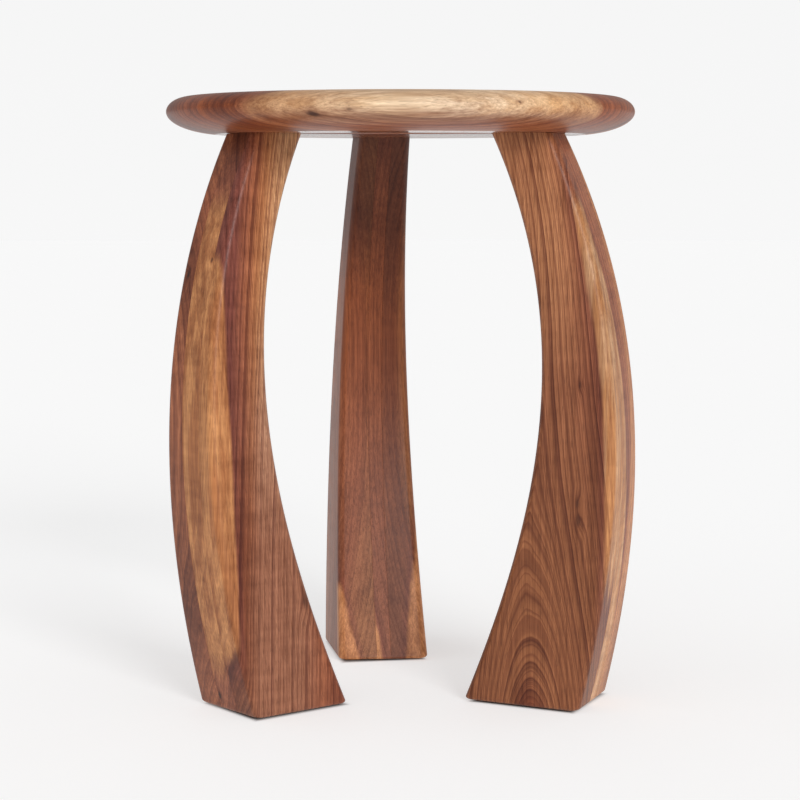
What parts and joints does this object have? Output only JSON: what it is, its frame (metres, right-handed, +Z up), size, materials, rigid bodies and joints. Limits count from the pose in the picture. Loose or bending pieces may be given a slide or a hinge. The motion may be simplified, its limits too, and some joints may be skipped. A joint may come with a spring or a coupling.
{
  "type": "three-legged stool",
  "caption": "Round wooden stool: thick bullnosed seat glued up from boards, on bowed laminated legs that swell past the rim and spread into broad feet with felt pads.",
  "frame": {"origin": "on the floor, at the middle of the stool's overall box; the seat's axis stands 7 mm in front of it (towards -Y), because the back leg bows out past the rim", "axes": "+Z up from the floor to the seat, -Y towards the viewer's side with the open gap between the two front legs, +X to that viewer's right; the back leg is on the +Y side"},
  "size_m": [0.408, 0.4222, 0.5203],
  "materials": {
    "seat_walnut": "oiled, satin",
    "leg_walnut": "oiled, satin",
    "tenon_beech": "raw, planed",
    "pad_felt": "pressed felt"
  },
  "bodies": {
    "root": {"seat_board_front": "seat_walnut", "seat_board_front_mid": "seat_walnut", "seat_board_middle": "seat_walnut", "seat_board_back_mid": "seat_walnut", "seat_board_back": "seat_walnut", "leg_left_stave_a": "leg_walnut", "leg_left_stave_b": "leg_walnut", "leg_left_stave_c": "leg_walnut", "leg_left_tenon_a": "tenon_beech", "leg_left_tenon_c": "tenon_beech", "leg_left_pad": "pad_felt", "leg_right_stave_a": "leg_walnut", "leg_right_stave_b": "leg_walnut", "leg_right_stave_c": "leg_walnut", "leg_right_tenon_a": "tenon_beech", "leg_right_tenon_c": "tenon_beech", "leg_right_pad": "pad_felt", "leg_back_stave_a": "leg_walnut", "leg_back_stave_b": "leg_walnut", "leg_back_stave_c": "leg_walnut", "leg_back_tenon_a": "tenon_beech", "leg_back_tenon_c": "tenon_beech", "leg_back_pad": "pad_felt"}
  },
  "joints": []
}
